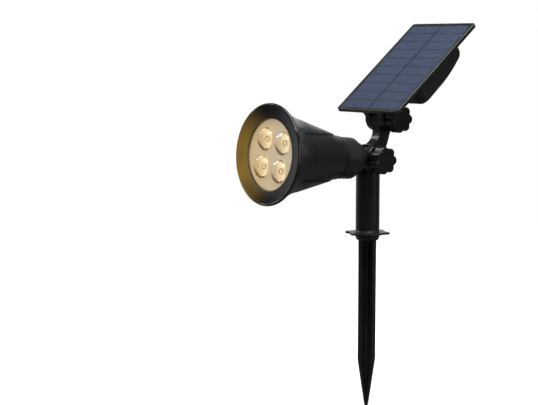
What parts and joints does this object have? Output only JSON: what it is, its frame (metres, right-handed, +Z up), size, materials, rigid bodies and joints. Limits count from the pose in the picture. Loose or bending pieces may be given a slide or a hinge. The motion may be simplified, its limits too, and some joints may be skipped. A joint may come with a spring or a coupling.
{
  "type": "solar garden light",
  "caption": "Stake-mounted spotlight with a conical lamp head and a tilting solar panel, each on a hinge clamped by a lobed hand knob.",
  "frame": {"origin": "centre of the pole flange's underside", "axes": "+Z up the pole, the lamp points towards -Y, the tilting hinges turn about X, clamp knobs on the +X side"},
  "size_m": [0.088, 0.2151, 0.3507],
  "materials": {
    "black_plastic": "satin black moulded",
    "cable_jacket": "satin",
    "steel": "zinc plated",
    "dark_rubber": "matte",
    "brass": "turned",
    "silicone": "matte",
    "tray_plastic": "warm satin",
    "clear_optic": "clear polished",
    "led_emitter": "phosphor dome",
    "board_white": "solder mask",
    "aluminium": "mill",
    "black_sheet": "laminated",
    "solar_silicon": "polycrystalline blue",
    "tinned_metal": "tinned",
    "clear_sheet": "clear resin",
    "foam": "closed-cell foam",
    "battery_wrap": "shrink wrap",
    "board_green": "solder mask",
    "component_black": "moulded epoxy",
    "button_rubber": "matte"
  },
  "bodies": {
    "stake": {"ground_stake": "black_plastic"},
    "pole": {"pole_tube": "black_plastic", "pole_head": "black_plastic", "arm_cover": "black_plastic", "arm_cable": "cable_jacket", "lamp_pivot_bolt": "steel", "lamp_pivot_washers": "dark_rubber"},
    "lamp": {"lamp_housing": "black_plastic", "tail_cap": "black_plastic", "tail_seal": "silicone", "front_bezel": "black_plastic", "lens_gasket": "silicone", "optic_tray": "tray_plastic", "led_optics": "clear_optic", "led_emitters": "led_emitter", "led_board": "board_white", "led_board_screws": "steel", "heat_sink": "aluminium", "lamp_cable": "cable_jacket"},
    "lamp_clamp": {"lamp_knob": "black_plastic", "lamp_knob_insert": "brass"},
    "panel": {"panel_pivot_bolt": "steel", "panel_pivot_washers": "dark_rubber", "panel_frame": "black_plastic", "solar_backsheet": "black_sheet", "solar_cells": "solar_silicon", "cell_ribbons": "tinned_metal", "front_sheet": "clear_sheet", "panel_bracket": "black_plastic", "bracket_screws": "steel", "battery_housing": "black_plastic", "housing_gasket": "foam", "housing_screws": "steel", "battery_cell": "battery_wrap", "battery_cradle": "black_plastic", "battery_contacts": "tinned_metal", "control_board": "board_green", "control_board_screws": "steel", "board_components": "component_black", "tact_switch": "component_black", "solar_wires": "cable_jacket", "battery_wires": "cable_jacket"},
    "panel_clamp": {"panel_knob": "black_plastic", "panel_knob_insert": "brass"},
    "button": {"power_button": "button_rubber"}
  },
  "joints": [
    {"name": "pole_swivel", "type": "hinge", "parent": "stake", "child": "pole", "pos_m": [0, 0, 0], "axis": [0, 0, 1], "continuous": true},
    {"name": "lamp_tilt", "type": "hinge", "parent": "pole", "child": "lamp", "pos_m": [0, 0, 0.0678], "axis": [-1, 0, 0], "range_deg": [-15, 35]},
    {"name": "lamp_knob_turn", "type": "hinge", "parent": "pole", "child": "lamp_clamp", "pos_m": [0.0147, 0, 0.0678], "axis": [1, 0, 0], "continuous": true},
    {"name": "panel_tilt", "type": "hinge", "parent": "pole", "child": "panel", "pos_m": [0, 0.0187, 0.104], "axis": [1, 0, 0], "range_deg": [-39, 46]},
    {"name": "panel_knob_turn", "type": "hinge", "parent": "panel", "child": "panel_clamp", "pos_m": [0.0147, 0.0187, 0.104], "axis": [1, 0, 0], "continuous": true},
    {"name": "power_button_press", "type": "slide", "parent": "panel", "child": "button", "axis": [0, -0.6293, 0.7771], "range_m": [0, 0.0012], "stiffness_N_per_m": 20, "springref_m": -0.001}
  ]
}
